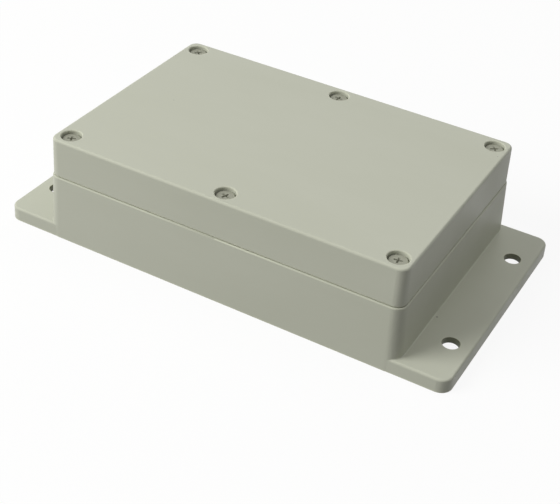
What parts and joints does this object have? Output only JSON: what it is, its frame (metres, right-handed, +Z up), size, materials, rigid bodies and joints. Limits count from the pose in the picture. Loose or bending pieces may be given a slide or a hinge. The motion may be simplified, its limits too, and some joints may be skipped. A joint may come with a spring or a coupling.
{
  "type": "flanged plastic project box",
  "caption": "Sealed two-part plastic enclosure with a lift-off screwed lid, gasket, board bosses and a mounting flange at each end.",
  "frame": {"origin": "middle of the underside, where the box rests", "axes": "+X along the box towards its right-hand flange, +Y from its front side to its back side, +Z up through the lid"},
  "size_m": [0.193, 0.1036, 0.0441],
  "materials": {
    "housing": "light warm grey ABS, moulded, fine satin texture",
    "seal": "dark soft rubber, matt",
    "screw": "dull zinc-plated steel",
    "insert": "turned brass"
  },
  "bodies": {
    "base": {"base": "housing", "threaded_insert_front_left": "insert", "threaded_insert_front_middle": "insert", "threaded_insert_front_right": "insert", "threaded_insert_back_left": "insert", "threaded_insert_back_middle": "insert", "threaded_insert_back_right": "insert"},
    "lid": {"lid": "housing", "gasket": "seal"},
    "lid_screw_front_left": {"lid_screw_front_left": "screw"},
    "lid_screw_front_middle": {"lid_screw_front_middle": "screw"},
    "lid_screw_front_right": {"lid_screw_front_right": "screw"},
    "lid_screw_back_left": {"lid_screw_back_left": "screw"},
    "lid_screw_back_middle": {"lid_screw_back_middle": "screw"},
    "lid_screw_back_right": {"lid_screw_back_right": "screw"}
  },
  "joints": [
    {"name": "lid_lift", "type": "slide", "parent": "base", "child": "lid", "axis": [0, 0, 1], "range_m": [0, 0.06]},
    {"name": "lid_screw_front_left_withdraw", "type": "slide", "parent": "lid", "child": "lid_screw_front_left", "axis": [0, 0, 1], "range_m": [0, 0.0115]},
    {"name": "lid_screw_front_middle_withdraw", "type": "slide", "parent": "lid", "child": "lid_screw_front_middle", "axis": [0, 0, 1], "range_m": [0, 0.0115]},
    {"name": "lid_screw_front_right_withdraw", "type": "slide", "parent": "lid", "child": "lid_screw_front_right", "axis": [0, 0, 1], "range_m": [0, 0.0115]},
    {"name": "lid_screw_back_left_withdraw", "type": "slide", "parent": "lid", "child": "lid_screw_back_left", "axis": [0, 0, 1], "range_m": [0, 0.0115]},
    {"name": "lid_screw_back_middle_withdraw", "type": "slide", "parent": "lid", "child": "lid_screw_back_middle", "axis": [0, 0, 1], "range_m": [0, 0.0115]},
    {"name": "lid_screw_back_right_withdraw", "type": "slide", "parent": "lid", "child": "lid_screw_back_right", "axis": [0, 0, 1], "range_m": [0, 0.0115]}
  ]
}
